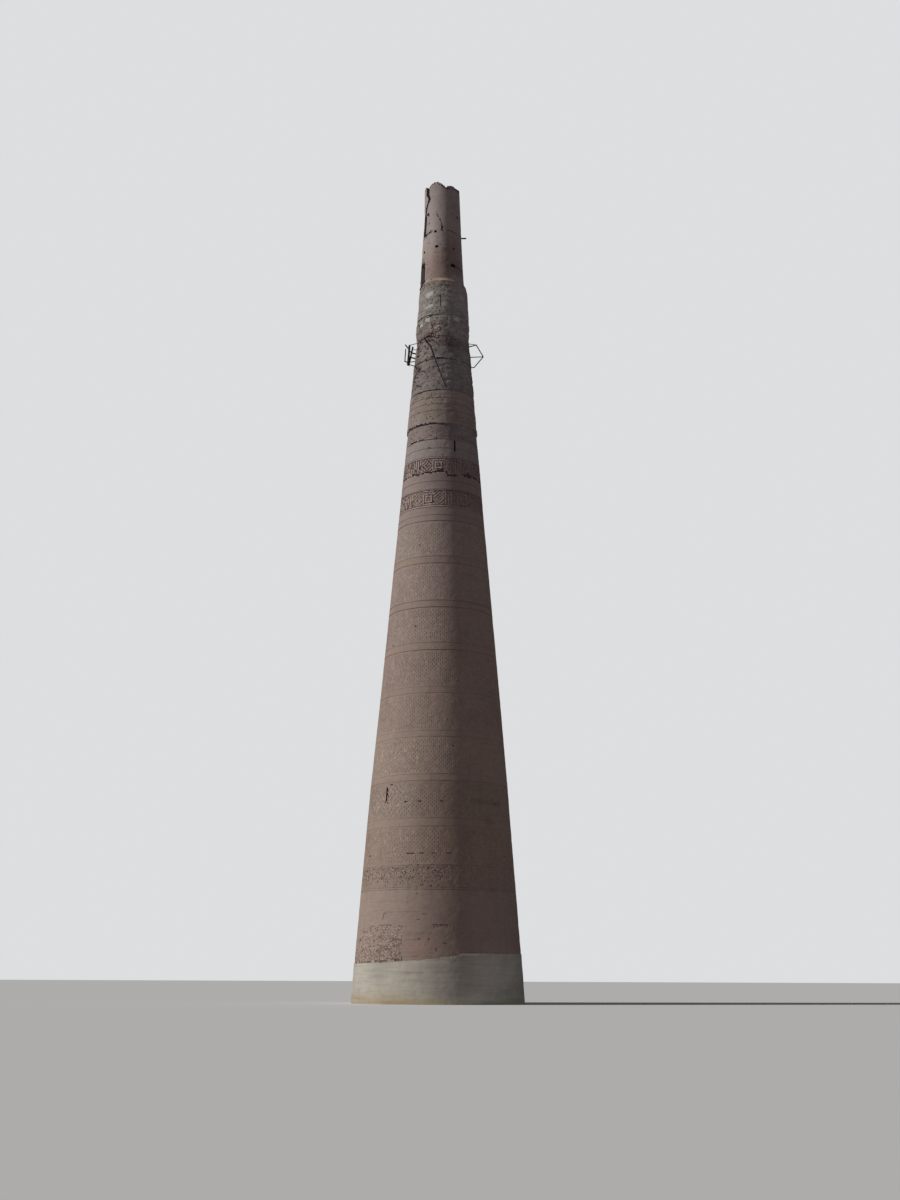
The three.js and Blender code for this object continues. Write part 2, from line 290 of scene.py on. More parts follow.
# A ring of masonry made of cells, each a quarter of a brick wide and one course tall
class Wall:
    def __init__(
        self, name, nodes, base, grooves=(), rowHeight=brick["course"], openings=(), keep=None,
        reveal="shadow", isSolid=False,
    ):
        self.name = name
        self.nodes = nodes
        self.looks = [base]
        self.dice = random.Random(name)
        self.ring = ring = ringSizes(nodes)
        self.width = sum(ring["outer"]) / 2 / half
        self.columns = ring["bricks"] * brick["columns"]
        self.lines = rowLines(ring, grooves, rowHeight)
        outer = [(radiusAt(ring, z) - cut, z) for z, cut in self.lines]
        hollow = [(ring["inner"][1], ring["top"]), (ring["inner"][0], ring["bottom"])]
        if isSolid:
            hollow = [(0, ring["top"]), (0, ring["bottom"])]
        isPierced = bool(openings) or keep is not None
        self.mesh = spinProfile(outer + ([] if isPierced else hollow), not isPierced, self.columns)
        if isPierced:
            self.pierce(openings, keep, reveal)
        self.findCells()

    # Drops the cells of doors, slits and fallen wall, then gives the shell its thickness and paints every
    # face within the wall and on its inner side with the reveal look, painted shade in the openings and
    # inside
    def pierce(self, openings, keep, reveal):
        lost = []
        for face in self.mesh.faces:
            spot = face.calc_center_median()
            angle, height = angleOf(spot), spot.z / half
            isGone = keep is not None and not keep(angle, height)
            for gap in openings:
                aside = arc(turnBetween(angle, gap["angle"]), math.hypot(spot.x, spot.y)) / half
                isGone |= abs(aside) < gap["wide"] / 2 and gap["sill"] < height < gap["head"]
            if isGone:
                lost.append(face)
        bmesh.ops.delete(self.mesh, geom=lost, context="FACES")
        loose = [v for v in self.mesh.verts if not v.link_faces]
        bmesh.ops.delete(self.mesh, geom=loose, context="VERTS")
        thickness = (sum(self.ring["outer"]) - sum(self.ring["inner"])) / 2
        bmesh.ops.solidify(self.mesh, geom=list(self.mesh.faces), thickness=thickness)
        bmesh.ops.recalc_face_normals(self.mesh, faces=self.mesh.faces)
        index = self.look(reveal)
        for face in self.mesh.faces:
            if self.depthOf(face.calc_center_median()) > faceDepth:
                face.material_index = index

    # How deep a point lies in the wall: 0 on the outer face and 1 on the inner one
    def depthOf(self, spot):
        outer, inner = radiusAt(self.ring, spot.z), radiusAt(self.ring, spot.z, "inner")
        return (outer - math.hypot(spot.x, spot.y)) / (outer - inner)

    def look(self, name):
        if name not in self.looks:
            self.looks.append(name)
        return self.looks.index(name)

    def findCells(self):
        self.cells = {}
        for face in self.mesh.faces:
            spot = face.calc_center_median()
            facesOut = face.normal.x * spot.x + face.normal.y * spot.y > 0.5 * math.hypot(spot.x, spot.y)
            if facesOut and self.depthOf(spot) < middleDepth:
                angle = angleOf(spot)
                column = int((angle + 180) / 360 * self.columns) % self.columns
                row = bisect.bisect(self.lines, (spot.z, math.inf))
                self.cells[row, column] = (face, angle, spot.z / half)

    # Sinks the cells that choose() gives a name in cuts, and leaves the others whole. The darker looks it
    # gives the sunk faces are painted shade in the hollows.
    def carve(self, choose, cuts):
        picked = {name: [] for name in cuts}
        for (row, column), (face, angle, height) in self.cells.items():
            name = choose(row, column, angle, height)
            if name in picked:
                picked[name].append(face)
        for name, faces in picked.items():
            cut = cuts[name]
            made = []
            if faces and cut["depth"]:
                made = bmesh.ops.inset_region(
                    self.mesh, faces=faces, thickness=cut["edge"] * half, depth=-cut["depth"] * half,
                    use_even_offset=True,
                )["faces"]
            if cut["look"]:
                index = self.look(cut["look"])
                for face in faces + made:
                    face.material_index = index

    # Wears the outer face back by fine noise and by blocks of a few bricks, and gives the real outline
    def wear(self, depth, size, blocks=0):
        for corner in self.mesh.verts:
            co = corner.co
            reach = math.hypot(co.x, co.y)
            height = co.z / half
            if reach > tolerance and self.depthOf(co) < middleDepth:
                amount = depth * clamp(0.5 + 0.5 * crumple(co / (size * half))) ** 1.5
                if blocks:
                    amount += blocks * clamp(blockNoise(co, 0.5, 0.24)) ** 2
                amount += readAlong(outline["left" if co.x < 0 else "right"], height) * (co.x / reach) ** 2
                co.x -= co.x / reach * amount * half
                co.y -= co.y / reach * amount * half
            co.x += readAlong(outline["lean"], height) * half

    # A value from 0 to 1 that changes over a few bricks, with some speckle
    def grain(self, angle, height, size, seed=0.5, speckle=0.3):
        spot = Vector((arc(angle, self.width) / size, height / size * 1.4, seed))
        return clamp(0.5 + 0.9 * noise.noise(spot) + speckle * (self.dice.random() - 0.5))

    def paint(self, name, choose):
        index = self.look(name)
        for face in self.mesh.faces:
            spot = face.calc_center_median()
            if choose(angleOf(spot), spot.z / half):
                face.material_index = index

    # Writes the colour that multiplies the finish at each corner: the zone's tint, the stains and the painted
    # light and shade of the list, and the patches
    def stain(self, tint, patches):
        layer = self.mesh.verts.layers.float_color.new("tint")
        low, high = self.ring["bottom"] / half, self.ring["top"] / half
        end = blotEdge["end"]
        near = [s for s in stainsAndPaintedLight if s[1] + s[3] * end > low and s[1] - s[3] * end < high]
        for corner in self.mesh.verts:
            co = corner.co
            colour = (1, 1, 1)
            if near:
                wobble = crumple(co / (blotEdge["grain"] * half))
                colour = stainAndPaintedLightAt(near, angleOf(co), co.z / half, wobble)
            tone = 1
            if patches:
                tone += patches * (0.6 * blockNoise(co, 0.62, 0.27) + 0.4 * blockNoise(co * 1.9, 0.55, 0.3))
            corner[layer] = (*(colour[i] * tint[i] * tone for i in range(3)), 1)

    def unwrap(self):
        uv = self.mesh.loops.layers.uv.new("unrolled")
        around = self.ring["bricks"] * brick["length"] * half
        for face in self.mesh.faces:
            middle = angleOf(face.calc_center_median())
            for loop in face.loops:
                co = loop.vert.co
                isOnAxis = math.hypot(co.x, co.y) < tolerance
                turn = middle if isOnAxis else middle + turnBetween(angleOf(co), middle)
                loop[uv].uv = (turn / 360 * around, co.z)

    def finish(self, slot, tint=(1, 1, 1), patches=0):
        self.unwrap()
        self.stain(tint, patches)
        shape = bpy.data.meshes.new(self.name)
        self.mesh.to_mesh(shape)
        self.mesh.free()
        for name in self.looks:
            shape.materials.append(finishes[name])
        piece = addToScene(self.name, shape)
        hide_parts(*self.nodes)
        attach(piece, "root")
        print("made", self.name, sum(len(face.vertices) - 2 for face in shape.polygons), "triangles")


# Holes and areas are (angle, height, width, height of the hole)
def isInHole(holes, angle, height, width):
    for middle, z, wide, tall in holes:
        if abs(height - z) < tall / 2 and abs(arc(turnBetween(angle, middle), width)) < wide / 2:
            return True
    return False


# Lines are (cut, width, corners), and a corner is (angle, height)
def isOnLine(thick, corners, angle, height, width):
    spot = Vector((arc(angle, width), height))
    for (a, low), (b, high) in zip(corners, corners[1:]):
        start = Vector((arc(a, width), low))
        along = Vector((arc(b, width), high)) - start
        share = clamp((spot - start).dot(along) / along.length_squared)
        if (spot - start - along * share).length < thick / 2:
            return True
    return False


# The cut of the first line that a cell lies on. Some of its cells stay whole, but for the solid cut.
def lineCut(lines, wall, angle, height, share, solid=None):
    for cut, thick, corners in lines:
        isNear = min(z for a, z in corners) - thick < height < max(z for a, z in corners) + thick
        if isNear and isOnLine(thick, corners, angle, height, wall.width):
            return cut if cut == solid or wall.dice.random() < share else "whole"
    return None


# Shader maths: a wire from a socket, added and multiplied like a number
class Wire:
    def __init__(self, tree, socket):
        self.tree = tree
        self.socket = socket

    def add(self, kind, settings=None, sockets=None, out=0):
        node = self.tree.nodes.new(kind)
        for key, value in (settings or {}).items():
            setattr(node, key, value)
        for key, value in (sockets or {}).items():
            if isinstance(value, Wire):
                self.tree.links.new(value.socket, node.inputs[key])
            else:
                node.inputs[key].default_value = value
        return Wire(self.tree, node.outputs[out])

    def maths(self, operation, *values):
        return self.add("ShaderNodeMath", {"operation": operation}, dict(enumerate(values)))

    def __add__(self, other):
        return self.maths("ADD", self, other)

    def __sub__(self, other):
        return self.maths("SUBTRACT", self, other)

    def __rsub__(self, other):
        return self.maths("SUBTRACT", other, self)

    def __mul__(self, other):
        return self.maths("MULTIPLY", self, other)

    __radd__ = __add__
    __rmul__ = __mul__

    def above(self, low, high):
        return self.add(
            "ShaderNodeMapRange", {"interpolation_type": "SMOOTHSTEP"},
            {"Value": self, "From Min": low, "From Max": high},
        )

    def noise(self, scale, detail=3, rough=0.6):
        return self.add(
            "ShaderNodeTexNoise", None,
            {"Vector": self, "Scale": scale, "Detail": detail, "Roughness": rough},
        )

    def mapped(self, scale=(1, 1, 1), move=(0, 0, 0)):
        return self.add("ShaderNodeMapping", None, {"Vector": self, "Scale": scale, "Location": move})

    def grey(self):
        return self.add("ShaderNodeCombineColor", None, {"Red": self, "Green": self, "Blue": self})


def blend(factor, first, second, mode="MIX"):
    wire = next(value for value in (factor, first, second) if isinstance(value, Wire))
    ends = [value if isinstance(value, Wire) else (*value, 1) for value in (first, second)]
    settings = {"data_type": "RGBA", "blend_type": mode}
    return wire.add("ShaderNodeMix", settings, {0: factor, 6: ends[0], 7: ends[1]}, 2)


# A material from build(), which gives a colour and a relief from the place and the unrolled wall
surface = {"specular": 0.2, "reliefStrength": 0.2, "reliefDepth": 0.01}


def makeFinish(name, build, roughness=0.92, isWall=True):
    material = bpy.data.materials.new(name)
    material.use_nodes = True
    tree = material.node_tree
    shader = tree.nodes["Principled BSDF"]
    shader.inputs["Roughness"].default_value = roughness
    shader.inputs["Specular IOR Level"].default_value = surface["specular"]
    coords = tree.nodes.new("ShaderNodeTexCoord")
    place = Wire(tree, coords.outputs["Object"])
    colour, height = build(place, Wire(tree, coords.outputs["UV"]))
    if isWall:
        tint = place.add("ShaderNodeAttribute", {"attribute_name": "tint"})
        colour = blend(1, colour, tint, "MULTIPLY")
    tree.links.new(colour.socket, shader.inputs["Base Color"])
    bump = place.add(
        "ShaderNodeBump", None,
        {"Strength": surface["reliefStrength"], "Distance": surface["reliefDepth"], "Height": height},
    )
    tree.links.new(bump.socket, shader.inputs["Normal"])
    return material


# Baked brick: bricks of slightly different tints, raked joints, broad stains, rain streaks and dust
mortar = {"shade": 0.8, "size": 0.003, "blur": 0.4}


def brickFinish(name, tint, spread=0.06, pairs=False, stain=0.2, blotches=0.16):
    def build(place, unrolled):
        courses = 2 if pairs else 1
        shifted = unrolled.mapped(move=(brick["length"] * half / 8 if pairs else 0, 0, 0))
        bricks = unrolled.add(
            "ShaderNodeTexBrick", {"offset": 0.5, "offset_frequency": 2},
            {
                "Vector": shifted,
                "Color1": (*shade(tint, 1 + spread), 1),
                "Color2": (*shade(tint, 1 - spread), 1),
                "Mortar": (*shade(tint, mortar["shade"]), 1),
                "Scale": 1,
                "Mortar Size": mortar["size"],
                "Mortar Smooth": mortar["blur"],
                "Brick Width": brick["length"] * half,
                "Row Height": brick["course"] * half * courses,
            },
        )
        joints = Wire(bricks.tree, bricks.socket.node.outputs["Fac"])
        broad = place.noise(0.6, 4, 0.62)
        blotch = place.noise(3.4, 4, 0.65)
        fine = place.noise(38, 5, 0.7)
        streak = unrolled.mapped((3.0, 0.22, 1)).noise(1.6, 3, 0.6)
        laid = unrolled.mapped((0.25, 6.5, 1)).noise(1.5, 4, 0.65)
        tone = 1 - stain * 0.5 * broad.above(0.46, 0.72) - stain * 0.4 * streak.above(0.5, 0.75)
        tone = tone - stain * 0.6 * laid.above(0.55, 0.75)
        tone = tone * (1 + blotches * (blotch - 0.5) + 0.2 * (fine - 0.5))
        colour = blend(1, bricks, tone.grey(), "MULTIPLY")
        dust = place.noise(1.4, 5, 0.7).above(0.5, 0.75) * 0.2
        colour = blend(dust, colour, shade(tint, 1.2))
        return colour, (1 - joints) * 0.5 + fine * 0.3 + blotch * 0.25
    return makeFinish(name, build)


# Lime render: broad stains, thin level bands of damp and fine grit
def plasterFinish(name, tint, stain):
    def build(place, unrolled):
        broad = place.noise(0.8, 5, 0.62)
        bands = unrolled.mapped((0.4, 5.5, 1)).noise(1.7, 5, 0.65)
        thin = unrolled.mapped((0.5, 9, 1), (3.1, 1.7, 0)).noise(1.5, 3, 0.5)
        blotch = place.noise(4.5, 5, 0.65)
        fine = place.noise(55, 4, 0.7)
        tone = 1 - stain * broad.above(0.42, 0.7) - stain * bands.above(0.45, 0.68)
        tone = tone + 0.5 * stain * thin.above(0.6, 0.7)
        tone = tone * (1 + 0.22 * (blotch - 0.5) + 0.14 * (fine - 0.5))
        return blend(1, tint, tone.grey(), "MULTIPLY"), blotch * 0.6 + fine * 0.3
    return makeFinish(name, build, 0.95)


# One colour with a grain, for small pits, marks and stones, and for the iron and the wood. The darkened brick
# ones are painted shade in sunk cells, holes and openings.
def plainFinish(name, tint, spread=0.3, scale=14, roughness=0.95, isWall=True):
    def build(place, unrolled):
        grain = place.noise(scale, 4, 0.65)
        return blend(1, tint, (1 + spread * (grain - 0.5)).grey(), "MULTIPLY"), grain
    return makeFinish(name, build, roughness, isWall=isWall)


lookColours = {
    "brick": (0.383, 0.292, 0.237),
    "plaster": (0.530, 0.494, 0.408),
    # Near black: painted shade in deep holes, cracks and openings
    "deep": (0.085, 0.064, 0.055),
    "stone": (0.56, 0.49, 0.42),
    "pinkish": (0.50, 0.37, 0.31),
    "rubble": (0.36, 0.275, 0.235),
    "iron": (0.035, 0.026, 0.023),
    "wood": (0.10, 0.08, 0.07),
}
baked = lookColours["brick"]
# dim, dull, shadow and deep are the brick darkened step by step: painted shade in sunk cells, cracks, holes
# and openings
finishes = {
    "brick": brickFinish("plain_brick", baked),
    "patterned": brickFinish("patterned_brick", baked, pairs=True),
    "worn": brickFinish("worn_brick", baked, spread=0.1, stain=0.4, blotches=0.6),
    "plaster": plasterFinish("rough_render", lookColours["plaster"], 0.14),
    "dim": plainFinish("dim_hollow_shade", shade(baked, 0.84)),
    "dull": plainFinish("shallow_pit_shade", shade(baked, 0.68), 0.4),
    "shadow": plainFinish("shadowed_brick", shade(baked, 0.52), 0.5),
    "deep": plainFinish("deep_hole_shade", lookColours["deep"]),
    "pale": plainFinish("pale_brick", shade(baked, 1.17)),
    # Painted highlight for the lit raised strokes of the friezes, and the colour of the pale flecks
    "stroke": plainFinish("lit_stroke_highlight_and_fleck", shade(baked, 1.38)),
    "stone": plainFinish("pale_stone", lookColours["stone"], 0.5, 20),
    "white": plainFinish("white_stone", shade(lookColours["stone"], 1.4), 0.5, 20),
    "pinkish": plainFinish("bare_brick", lookColours["pinkish"], 0.5, 20),
    "rubble": plainFinish("broken_core", lookColours["rubble"], 1.3, 26),
    "iron": plainFinish("rusty_iron", lookColours["iron"], 0.8, 30, 0.7, False),
    "wood": plainFinish("old_wood", lookColours["wood"], 0.6, 40, 0.9, False),
}
print("finishes ready")

# The render's upper edge rises from left to right, and the wall stands back above it
skirt = {
    "edge": [
        (-180, 2.85), (-75, 2.54), (-57, 2.55), (-37, 2.61), (-20, 2.68), (0, 2.82), (10, 2.94), (14, 3.01),
        (18, 3.17), (60, 3.20), (80, 3.22), (150, 3.2), (180, 2.85),
    ],
    "ripple": 0.03,
    "proud": 0.035,
    "stepSlope": 0.008,
    "paintSlack": 0.005,
    "wear": (0.035, 1.1),
}


def skirtEdge(angle):
    ripple = wander(angle, 0.22, 3.1, 0.4) + 0.5 * wander(angle, 0.9, 7.7, 0.2)
    return readAlong(skirt["edge"], angle) + skirt["ripple"] * ripple


# Draws the row of corners nearest to the render's edge onto it, and steps the wall back above it
def shapeSkirtEdge(wall, isSkirt):
    course = brick["course"] * half
    proud = skirt["proud"] * half
    for corner in wall.mesh.verts:
        co = corner.co
        if wall.depthOf(co) > faceDepth:
            continue
        edge = skirtEdge(angleOf(co)) * half
        rise = co.z - edge
        isEnd = min(abs(co.z - wall.ring["bottom"]), abs(co.z - wall.ring["top"])) < tolerance
        if -0.5 * course < rise <= 0.5 * course and not isEnd:
            co.z = edge
            rise = 0
        elif 0.5 * course < rise <= 1.5 * course and not isEnd:
            co.z = edge + skirt["stepSlope"] * half
        shift = 0
        if isSkirt and rise > 0:
            shift = -proud
        if not isSkirt and rise <= 0:
            shift = proud
        reach = math.hypot(co.x, co.y)
        co.x += co.x / reach * shift
        co.y += co.y / reach * shift


def makeSkirt():
    foot = Wall("rendered_foot", ["foot_course"], "plaster", isSolid=True)
    foot.wear(*skirt["wear"])
    foot.finish("stained_plaster")
    wall = Wall("rendered_skirt", ["plaster_skirt"], "plaster")
    shapeSkirtEdge(wall, True)
    wall.paint("brick", lambda angle, height: height > skirtEdge(angle) + skirt["paintSlack"])
    carveLowerBrick(wall)
    wall.wear(*skirt["wear"])
    wall.finish("plaster")


# Plain brick over the skirt, with a patch that has lost its facing on the left, and small marks and holes
lowerBrick = {
    "patch": {
        "left": -84, "right": -24, "overRender": 0.03,
        "top": [(-84, 3.2), (-74, 3.9), (-66, 4.6), (-58, 4.85), (-24, 4.9)],
        "density": [(-80, 0.3), (-62, 0.45), (-45, 0.5), (-43, 0.8), (-25, 0.8)],
        "thinAbove": 4.3, "thinned": 0.6, "grain": 0.11,
        "gap": {"reach": 0.13, "share": 0.55},
        "pit": 0.25, "loss": 0.7, "pale": 0.18,
    },
    "lineShare": 0.85,
    "flake": {"from": 3.4, "share": 0.003},
    "lines": [
        ("hair", 0.09, [(-42.0, 4.45), (-43.8, 4.1), (-44.0, 2.7)]),
        ("hair", 0.08, [(-25.0, 4.2), (-24.6, 3.4), (-25.2, 2.75)]),
        ("hair", 0.05, [(-41, 5.74), (-24, 5.74), (-10, 5.72)]),
        ("mark", 0.08, [(-38.5, 5.74), (-41.2, 5.6), (-41.4, 5.36)]),
        ("mark", 0.07, [(-44, 4.95), (-33, 4.97)]),
        ("hair", 0.06, [(-31, 4.8), (-22, 4.8)]),
        ("hair", 0.05, [(-30, 4.5), (-20, 4.42), (-4, 4.4)]),
        ("hair", 0.06, [(-71, 4.68), (-60, 4.72), (-52, 4.68)]),
        ("mark", 0.08, [(-54, 4.86), (-50, 4.86)]),
        ("mark", 0.13, [(-2.6, 4.94), (7, 4.92)]),
        ("hair", 0.05, [(-21, 4.0), (-11, 4.0)]),
        ("hair", 0.05, [(-17, 3.0), (-8, 3.02)]),
        ("hair", 0.06, [(6.5, 4.3), (4.5, 4.1)]),
    ],
    "holes": [
        (-9.7, 5.62, 0.22, 0.07), (-13.3, 5.26, 0.18, 0.07), (-2.6, 4.83, 0.09, 0.2), (0, 4.85, 0.07, 0.12),
        (6.2, 4.85, 0.07, 0.14), (-0.8, 3.4, 0.08, 0.2), (4.6, 3.82, 0.16, 0.07), (-12.5, 4.05, 0.14, 0.07),
        (-5.6, 4.03, 0.14, 0.07), (-27, 4.88, 0.16, 0.07), (130, 4.8, 0.5, 0.14), (170, 5.6, 0.3, 0.08),
        (100, 4.2, 0.3, 0.08), (-140, 5.1, 0.3, 0.1), (-110, 6.2, 0.2, 0.08), (-15, 6.9, 0.14, 0.07),
        (10.9, 4.72, 0.07, 0.2),
    ],
    "grooves": [(7.18, 0.05, 0.025)],
}


def carveLowerBrick(wall):
    patch, flake = lowerBrick["patch"], lowerBrick["flake"]

    def choose(row, column, angle, height):
        if isInHole(lowerBrick["holes"], angle, height, wall.width):
            return "mark"
        cut = lineCut(lowerBrick["lines"], wall, angle, height, lowerBrick["lineShare"])
        if cut:
            return cut
        rise = height - skirtEdge(angle)
        isOver = patch["left"] < angle < patch["right"] and rise > patch["overRender"]
        if isOver and height < readAlong(patch["top"], angle):
            thinned = patch["thinned"] if height > patch["thinAbove"] else 1
            density = readAlong(patch["density"], angle) * thinned
            roll = wall.grain(angle, height, patch["grain"])
            if rise < patch["gap"]["reach"] and roll < patch["gap"]["share"]:
                return "gap"
            if roll > 1 - patch["pale"]:
                return "pale"
            if roll < patch["pit"] * density:
                return "pit"
            return "loss" if roll < patch["loss"] * density else None
        return "flake" if height > flake["from"] and wall.dice.random() < flake["share"] else None

    # The darker looks of these cuts are painted shade in the sunk cells
    wall.carve(choose, {
        "gap": sunk(0.03, "shadow"),
        "mark": sunk(0.02, "dull"),
        "hair": sunk(0.008, "dim"),
        "pit": sunk(0.02, "dull"),
        "loss": sunk(0.014, "dim", 0.012),
        "pale": sunk(0, "pale"),
        "flake": sunk(0.015),
    })


def makeLowerBrick():
    wall = Wall("lower_brickwork", ["lower_brick_drum"], "brick", lowerBrick["grooves"])
    shapeSkirtEdge(wall, False)
    carveLowerBrick(wall)
    wall.wear(0.02, 0.6)
    wall.paint("plaster", lambda angle, height: height < skirtEdge(angle) - skirt["paintSlack"])
    wall.finish("brick")


# The lowest ornamental band, worn to a net of pits between two dotted edges
lowerFrieze = {
    "density": [
        (7.2, 0.0), (7.38, 0.05), (7.5, 0.2), (7.7, 0.3), (7.84, 0.3), (7.88, 0.7), (8.0, 0.7), (8.06, 0.4),
        (8.2, 0.5), (8.4, 0.5), (8.46, 0.8), (8.6, 0.8), (8.66, 0.05), (8.8, 0),
    ],
    "grooves": [(7.32, 0.03, 0.015), (8.72, 0.03, 0.015)],
    "grain": (0.1, 4.2),
    "shade": {"from": 2, "spread": 6, "to": 130, "loss": 0.2},
    "pit": 0.12, "loss": 0.75,
    "pale": {"share": 0.15, "fromDensity": 0.3},
    "tint": (0.96, 0.95, 0.94),
}


def makeLowerFrieze():
    band, shade, pale = lowerFrieze, lowerFrieze["shade"], lowerFrieze["pale"]
    wall = Wall("carved_lower_frieze", ["lower_frieze"], "brick", band["grooves"])

    def choose(row, column, angle, height):
        density = readAlong(band["density"], height)
        isShaded = shade["from"] + shade["spread"] * wall.dice.random() < angle < shade["to"]
        roll = wall.grain(angle, height, *band["grain"])
        if roll > density:
            return "pale" if roll > 1 - pale["share"] and density > pale["fromDensity"] else None
        if isShaded:
            return "faint" if roll > shade["loss"] * density else "loss"
        return "pit" if roll < band["pit"] * density else "loss" if roll < band["loss"] * density else "flake"

    # The darker looks of these cuts are painted shade in the sunk cells
    wall.carve(choose, {
        "pit": sunk(0.03, "shadow"),
        "loss": sunk(0.018, "dim", 0.012),
        "flake": sunk(0.012, None, 0.012),
        "faint": sunk(0.005),
        "pale": sunk(0, "pale"),
    })
    wall.wear(0.025, 0.4)
    wall.finish("carved_brick", lowerFrieze["tint"])


# Paired bricks with an upright plug hole between each pair, laid half a brick over from row to row
patterned = {
    "rowHeight": 0.135,
    "plug": {"depth": 0.014, "edge": 0.013},
    "holes": {
        1: [
            (-64, 9.5), (-22.5, 9.5), (-19.5, 9.47), (-12, 9.5), (-3, 9.5), (7.5, 9.5), (60, 9.5),
            (120, 9.5), (165, 9.5),
        ],
        2: [(-26.5, 12.9), (-15.2, 12.9), (2.8, 12.9), (-41.4, 14.12), (50, 12.9), (110, 12.9), (-150, 12.9)],
        3: [(12, 16.6)],
        5: [(17, 21.1)],
        6: [(-57, 23.9), (-27, 24.95)],
        8: [(-27, 30.87)],
    },
    "holeWidths": {1: 0.27, 2: 0.27}, "loneHoleWidth": 0.135, "holeHeight": 0.07, "darkHolesUpTo": -8,
    "slit": {"angle": -46.5, "wide": 0.16, "sill": 13.0, "head": 14.0, "drum": 2},
    "overSlit": {"reach": 0.55, "low": -0.12, "high": 0.3},
    "slitJambs": {"reach": 0.16, "below": 0.12, "lost": 0.14, "lostBelow": 0.5},
    "slitFlecks": {"reach": 1.2, "height": 1.1, "share": 0.1},
    "chevrons": {"reach": 1.6, "every": 6, "darkReach": 1, "dark": 0.3},
    "sharpness": {"pace": 0.9, "whole": 0.6, "spread": 0.6, "least": 0.45, "dark": 0.2},
    "flecks": {1: 0.01, 2: 0.03, 3: 0.04, 5: 0.04, 6: 0.08, 7: 0.08, 8: 0.06},
    "fleckZone": {"left": -70, "right": -18, "paleFrom": 4, "paleRight": 2},
    "pale": 0.012, "flake": 0.018,
    "tints": {
        1: (0.965, 0.945, 0.925), 2: (0.917, 0.920, 0.907), 3: (0.98, 0.985, 0.97), 4: (0.96, 0.955, 0.96),
        5: (0.935, 0.926, 0.945), 6: (0.945, 0.945, 0.97), 7: (0.945, 0.955, 1.0), 8: (0.94, 0.97, 1.01),
    },
}


# What becomes of a cell beside the slit, or None where the pattern goes on
def besideSlit(across, height, roll):
    slit, over = patterned["slit"], patterned["overSlit"]
    jambs, flecks = patterned["slitJambs"], patterned["slitFlecks"]
    middle = (slit["sill"] + slit["head"]) / 2
    if abs(across) < over["reach"] and slit["head"] + over["low"] < height < slit["head"] + over["high"]:
        return "whole"
    if abs(across) < jambs["reach"] and slit["sill"] - jambs["below"] < height < slit["head"]:
        return "hole" if roll < jambs["lostBelow" if height < slit["sill"] else "lost"] else "whole"
    isBeside = abs(across) < flecks["reach"] and abs(height - middle) < flecks["height"]
    if isBeside and roll > 1 - flecks["share"]:
        return "fleck"
    return None


def makePatterned(number):
    name = f"patterned_drum_{number}"
    nodes = [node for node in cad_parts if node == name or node.startswith(name + "_")]
    slit, chevrons = patterned["slit"], patterned["chevrons"]
    sharpness, zone = patterned["sharpness"], patterned["fleckZone"]
    hasSlit = number == slit["drum"]
    isPale = number >= zone["paleFrom"]
    openings = [slit, {**slit, "angle": slit["angle"] + 180}] if hasSlit else []
    wide, tall = patterned["holeWidths"].get(number, patterned["loneHoleWidth"]), patterned["holeHeight"]
    holes = [(a, z, wide, tall) for a, z in patterned["holes"].get(number, [])]
    thinRows = [(z, tall, 0) for z in {round(z, 1) for a, z in patterned["holes"].get(number, [])}]
    wall = Wall(
        f"patterned_brickwork_{number}", nodes, "patterned", thinRows, patterned["rowHeight"], openings,
        reveal="deep",
    )
    lastRow = max(row for row, column in wall.cells)
    slitMiddle = (slit["sill"] + slit["head"]) / 2
    flecks = patterned["flecks"].get(number, 0)

    def choose(row, column, angle, height):
        if isInHole(holes, angle, height, wall.width):
            return "hole" if angle < patterned["darkHolesUpTo"] else "mark"
        if row in (1, lastRow):
            return None
        spot = Vector((arc(angle, wall.width) * sharpness["pace"], height * sharpness["pace"], number))
        sharp = clamp(sharpness["whole"] + sharpness["spread"] * crumple(spot, 2))
        shift = 0 if row % 2 else brick["columns"] // 2
        isPlug = (column + shift) % brick["columns"] == 0
        across = arc(turnBetween(angle, slit["angle"]), wall.width)
        if hasSlit and abs(across) < chevrons["reach"]:
            rise = abs(round((height - slitMiddle) / patterned["rowHeight"]))
            isPlug = (abs(round(across / brick["course"])) + 2 * rise) % chevrons["every"] == 0
        roll = wall.dice.random()
        slitCut = besideSlit(across, height, roll) if hasSlit else None
        if slitCut:
            return slitCut
        if isPlug and roll < sharpness["least"] + (1 - sharpness["least"]) * sharp:
            isNear = hasSlit and abs(across) < chevrons["darkReach"]
            return "dark" if roll < sharpness["dark"] * sharp + chevrons["dark"] * isNear else "plug"
        if zone["left"] < angle < zone["paleRight" if isPale else "right"] and roll > 1 - flecks:
            return "pale" if isPale else "fleck"
        if roll < patterned["pale"]:
            return "pale"
        return "flake" if roll < patterned["pale"] + patterned["flake"] else None

    # The darker looks of these cuts are painted shade in the sunk cells
    wall.carve(choose, {
        "plug": sunk(**patterned["plug"]),
        "dark": sunk(look="dim", **patterned["plug"]),
        "hole": sunk(0.06, "deep" if hasSlit else "shadow"),
        "mark": sunk(0.03, "dull"),
        "pale": sunk(0, "pale"),
        "fleck": sunk(0, "stroke"),
        "flake": sunk(0.01),
    })
    wall.wear(0.02, 0.5)
    wall.finish("patterned_brick", patterned["tints"][number])


